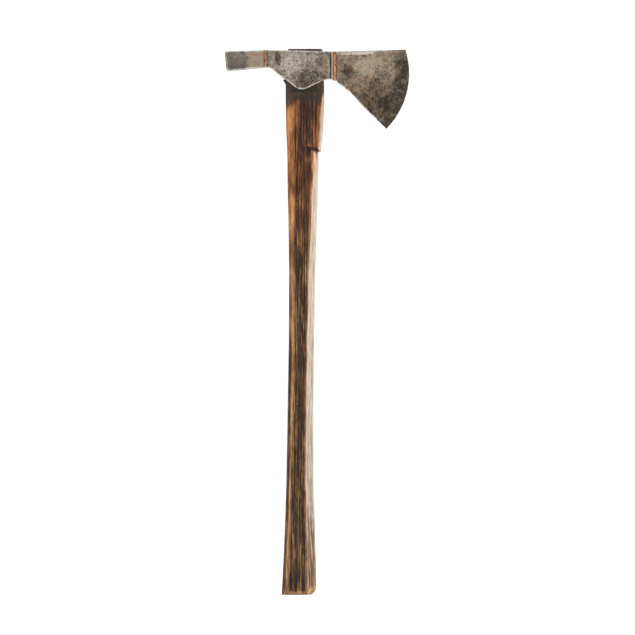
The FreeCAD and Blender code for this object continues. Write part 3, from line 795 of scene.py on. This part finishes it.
def blade_tones(places, normals):
    """Tone, warmth and the weight of pits over the blade, iron and steel alike."""
    centre = (CAD_BOUNDS[1][0] - EYE_AXIS - EDGE_RADIUS) / MM
    far = np.hypot(places[:, 0] - centre, places[:, 2] - EDGE_CENTRE_HEIGHT / MM)
    far += 5 * ramp(places[:, 2], 12, 0) - EDGE_RADIUS / MM
    edge = ramp(far + 4 * noise(places, 10, 130) + 2 * noise(places, 4, 128), -19.2, -6.2)
    edge *= 1 - 0.7 * ramp(places[:, 2], 24, 31)
    light = spot(places, 85, 21, 26, 15, 131)
    heel = ramp(places[:, 2] + 9 * noise(places, 15, 134), 6, -30)
    neck = spot(places, 56, 13, 7, 11, 137)
    cluster = spot(places, 99, 15, 8, 8, 140) + spot(places, 89, -1, 7, 5, 143)
    slit = spot(places, 78, 32.5, 3, 0.8)
    dot = spot(places, 78.5, 20, 1, 1)
    tone = 0.07 + 0.28 * light - 0.42 * np.maximum(edge, 0.9 * heel) - 0.3 * neck
    tone -= 0.5 * slit + 0.5 * dot
    warm = 0.8 - 0.5 * edge + 0.2 * ramp(places[:, 0], 60, 50)
    flat = ramp(np.abs(normals[:, 1]), 0.5, 0.9)
    return tone, warm, flat * (0.12 + 2.6 * cluster + 6 * slit) + NO_PITS


def build_collar(shoulder):
    """Steel collar: a worn ridge with a dirty line down its middle."""
    piece = fine_piece("neck_collar", 0.35 * MM, "collar_steel")
    points, _, arris = forge(piece, 150, "eye_block", "blade_copper", dent=0.06, grain=0.03)
    places = head_places(points, shoulder)
    dirt = 1 - ramp(places[:, 0] + 0.3 * noise(places, 5, 152), 34.2, 34.9)
    zero = np.zeros(len(points))
    store(piece, tone=0.3 - 0.7 * dirt, pit=zero, arris=arris * (1 - dirt), warm=zero + 1)
    return piece


def build_copper(node, seed, *touching, dull):
    """Copper of a joint, with dirt along both of its sides and a film of grey over it."""
    piece = fine_piece(node, 0.4 * MM, "copper")
    points, _, arris = forge(piece, seed, dent=0.08, grain=0.05)
    wobble = 0.3 * MM * noise(points, 4 * MM, seed + 7)
    dirt = 1 - joint_mask(points + wobble[:, None], *touching)
    film = dull * ramp(noise(points, 3 * MM, seed + 9), -0.6, 0.4)
    store(piece, arris=arris * (1 - dirt), dirt=dirt, dull=film)
    return piece


PIT_DIRT = rgb(30, 26, 24)
BARE_METAL = rgb(196, 188, 177)
BRAZE = rgb(142, 84, 62)


def iron_material(name, dark, middle, light, rust, smoothest, contrast=0.25, braze=False):
    """Old forged iron: mottled patina, dark pits, pale bare metal on its arrises. smoothest is its least
    roughness."""
    graph = Graph(name)
    broad = graph.noise(18 * MM, detail=3, roughness=0.6)
    mottle = graph.noise(6 * MM, detail=5, roughness=0.62, warp=0.5)
    speck = graph.noise(1.2 * MM, detail=4, roughness=0.7)
    value = graph.total(
        graph.layer("tone"),
        graph.remap(mottle, 0.25, 0.75, 0.39 - contrast, 0.39 + contrast),
        graph.remap(broad, 0.3, 0.7, -0.14, 0.18),
        graph.remap(speck, 0.3, 0.7, -0.2, 0.28),
    )
    colour = graph.colours(value, (0.03, dark), (0.45, middle), (0.92, light))
    rusty = graph.maths("MULTIPLY", graph.remap(broad, 0.4, 0.6, 0.0, 0.6), graph.layer("warm"))
    colour = graph.mix(rusty, colour, rust, "MULTIPLY")
    colour = graph.mix(graph.remap(graph.layer("pit"), 0.1, 0.7, 0.0, 0.92), colour, PIT_DIRT)
    bare = graph.remap(graph.layer("arris"), 0.3, 1.0)
    bare = graph.maths("MULTIPLY", bare, graph.remap(mottle, 0.3, 0.6, 0.1, 0.9))
    colour = graph.mix(bare, colour, BARE_METAL)
    if braze:
        colour = graph.mix(graph.layer("braze"), colour, BRAZE)
    roughness = graph.remap(mottle, 0.3, 0.7, smoothest, smoothest + 0.16)
    roughness = graph.maths("ADD", roughness, graph.layer("pit", 0.2), clamp=True)
    return graph.finish(colour, roughness, graph.mean(mottle, speck, 0.6), 0.3 * MM, Metallic=0.7)


def eye_iron_material():
    """Iron of the eye block, grey and pale."""
    return iron_material(
        "eye_iron",
        dark=rgb(54, 49, 43),
        middle=rgb(118, 110, 99),
        light=rgb(176, 168, 158),
        rust=rgb(205, 178, 150),
        smoothest=0.4,
    )


def poll_iron_material():
    """Iron of the poll, grey at the end and streaked with braze near the copper."""
    return iron_material(
        "poll_iron",
        dark=rgb(76, 72, 68),
        middle=rgb(116, 107, 96),
        light=rgb(158, 149, 135),
        rust=rgb(222, 196, 168),
        smoothest=0.36,
        contrast=0.13,
        braze=True,
    )


def blade_iron_material():
    """Iron of the blade, warmer and browner."""
    return iron_material(
        "blade_iron",
        dark=rgb(50, 43, 34),
        middle=rgb(116, 103, 87),
        light=rgb(166, 154, 137),
        rust=rgb(214, 182, 146),
        smoothest=0.38,
    )


def edge_steel_material():
    """Steel of the cutting edge, close to the iron's colours but greyer."""
    return iron_material(
        "edge_steel",
        dark=rgb(50, 44, 37),
        middle=rgb(112, 101, 87),
        light=rgb(160, 150, 136),
        rust=rgb(214, 186, 156),
        smoothest=0.35,
    )


def collar_steel_material():
    """Steel of the collar, rubbed bright."""
    return iron_material(
        "collar_steel",
        dark=rgb(52, 44, 38),
        middle=rgb(142, 130, 118),
        light=rgb(188, 178, 166),
        rust=rgb(222, 196, 170),
        smoothest=0.34,
    )


RUBBED_COPPER = rgb(196, 146, 110)
COPPER_FILM = rgb(150, 128, 112)
COPPER_DIRT = rgb(86, 50, 36)


def copper_material():
    """Worn copper: orange-brown where it is rubbed, dark red-brown along its sides."""
    graph = Graph("copper")
    mottle = graph.noise(3 * MM, (1, 1, 1.6), detail=5, roughness=0.65)
    speck = graph.noise(0.8 * MM, detail=2)
    value = graph.total(graph.remap(mottle, 0.3, 0.7), graph.remap(speck, 0.3, 0.7, -0.15, 0.15))
    colour = graph.colours(
        value,
        (0.1, rgb(104, 62, 34)),
        (0.5, rgb(172, 114, 74)),
        (0.9, rgb(208, 156, 116)),
    )
    colour = graph.mix(graph.remap(graph.layer("arris"), 0.3, 0.9, 0.0, 0.5), colour, RUBBED_COPPER)
    colour = graph.mix(graph.layer("dull"), colour, COPPER_FILM)
    colour = graph.mix(graph.layer("dirt", 0.5), colour, COPPER_DIRT)
    roughness = graph.remap(mottle, 0.3, 0.7, 0.35, 0.55)
    return graph.finish(colour, roughness, speck, 0.12 * MM, Metallic=0.8)


def paint_nodes(wedge_wood, wedge_steel):
    """Gives the wedges, which keep their CAD shapes, their materials."""
    for node, material in (("wood_wedge", wedge_wood), ("steel_wedge", wedge_steel)):
        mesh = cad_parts[node].data
        mesh.materials.clear()
        mesh.materials.append(material)


def wedge_wood_material():
    """End grain of the wooden wedge, dark with oil."""
    graph = Graph("wedge_wood")
    rings = graph.noise(1.4 * MM, (1, 3, 8), detail=4)
    colour = graph.colours(
        rings,
        (0.3, rgb(52, 34, 22)),
        (0.5, rgb(92, 62, 40)),
        (0.7, rgb(128, 92, 60)),
    )
    return graph.finish(colour, graph.remap(rings, 0.3, 0.7, 0.5, 0.7), rings, 0.3 * MM)


def wedge_steel_material():
    """Head of the steel wedge, rusty and hammered."""
    graph = Graph("wedge_steel")
    mottle = graph.noise(2.5 * MM, detail=5, roughness=0.65)
    colour = graph.colours(
        mottle,
        (0.3, rgb(48, 38, 32)),
        (0.5, rgb(92, 76, 62)),
        (0.7, rgb(136, 122, 106)),
    )
    roughness = graph.remap(mottle, 0.3, 0.7, 0.45, 0.7)
    return graph.finish(colour, roughness, mottle, 0.3 * MM, Metallic=0.7)


# ---------------------------------------------------------------- stage


FLOOR_RADIUS = 30
STUDIO_LIGHT = 1.1
PAPER_WHITES = ((0.3, (0.93, 0.93, 0.93, 1)), (0.7, (0.95, 0.95, 0.95, 1)))

# Each softbox's name, place, width and height in metres, and watts.
SOFTBOXES = (
    ("right_box", (1.7, 0.3, 0.5), 0.9, 1.6, 40),
    ("left_box", (-1.1, -1.5, 1.5), 0.8, 0.8, 6),
)

# The camera is far off. Its picture is this many times as tall as the axe, and a little off its middle.
CAMERA_DISTANCE = 9.0
SENSOR_WIDTH = 36.0
PICTURE_RATIO = 1.1641
PICTURE_RIGHT = 0.7 * MM
PICTURE_UP = 5.4 * MM


def area_light(name, place, width, height, watts, target):
    """A softbox at a place, turned to a target."""
    light = bpy.data.lights.new(name, "AREA")
    light.shape = "RECTANGLE"
    light.size = width
    light.size_y = height
    light.energy = watts
    lamp = bpy.data.objects.new(name, light)
    lamp.location = place
    lamp.rotation_euler = (Vector(target) - Vector(place)).to_track_quat("-Z", "Y").to_euler()
    bpy.context.scene.collection.objects.link(lamp)


def build_floor(height):
    """A wide floor of white paper."""
    place = (0, 0, height)
    bpy.ops.mesh.primitive_circle_add(vertices=96, radius=FLOOR_RADIUS, fill_type="NGON", location=place)
    floor = bpy.context.object
    floor.name = "floor"
    graph = Graph("floor_paper")
    paper = graph.noise(0.4, detail=2)
    colour = graph.colours(paper, *PAPER_WHITES)
    roughness = graph.remap(paper, 0.3, 0.7, 0.8, 0.9)
    floor.data.materials.append(graph.finish(colour, roughness, paper, 0.2 * MM))


def build_stage(low, high):
    """A white floor and studio, a large softbox at the right and a smaller one at the upper left."""
    build_floor(low[2])
    world = bpy.data.worlds.new("studio")
    world.use_nodes = True
    background = world.node_tree.nodes["Background"]
    background.inputs["Color"].default_value = (1, 1, 1, 1)
    background.inputs["Strength"].default_value = STUDIO_LIGHT
    bpy.context.scene.world = world
    middle = [(a + b) / 2 for a, b in zip(low, high)]
    for softbox in SOFTBOXES:
        area_light(*softbox, middle)


def build_camera(low, high):
    """The camera straight in front, far off, with the whole axe in view."""
    camera = bpy.data.cameras.new("camera")
    camera.sensor_width = SENSOR_WIDTH
    camera.lens = SENSOR_WIDTH * CAMERA_DISTANCE / (PICTURE_RATIO * (high[2] - low[2]))
    holder = bpy.data.objects.new("camera", camera)
    bpy.context.scene.collection.objects.link(holder)
    right = (low[0] + high[0]) / 2 + PICTURE_RIGHT
    up = (low[2] + high[2]) / 2 + PICTURE_UP
    holder.location = (right, -CAMERA_DISTANCE, up)
    holder.rotation_euler = (math.radians(90), 0, 0)
    bpy.context.scene.camera = holder


def main():
    """Builds every piece, its material, the stage and the camera."""
    bpy.context.scene.view_settings.view_transform = "Standard"
    sampler = HaftSampler()
    shoulder = sampler.shoulder
    copper = copper_material()
    dressed = [
        (build_haft(sampler), wood_material()),
        (build_eye_block(shoulder), eye_iron_material()),
        (build_hammer_poll(shoulder), poll_iron_material()),
        (build_copper("poll_copper", 170, "eye_block", "hammer_poll", dull=0.75), copper),
        (build_collar(shoulder), collar_steel_material()),
        (build_copper("blade_copper", 180, "neck_collar", "blade", dull=0.15), copper),
        (build_blade(shoulder), blade_iron_material()),
        (build_edge_bit(shoulder), edge_steel_material()),
    ]
    for piece, material in dressed:
        piece.data.materials.append(material)
    paint_nodes(wedge_wood_material(), wedge_steel_material())
    low, high = CAD_BOUNDS
    build_stage(low, high)
    build_camera(low, high)


main()
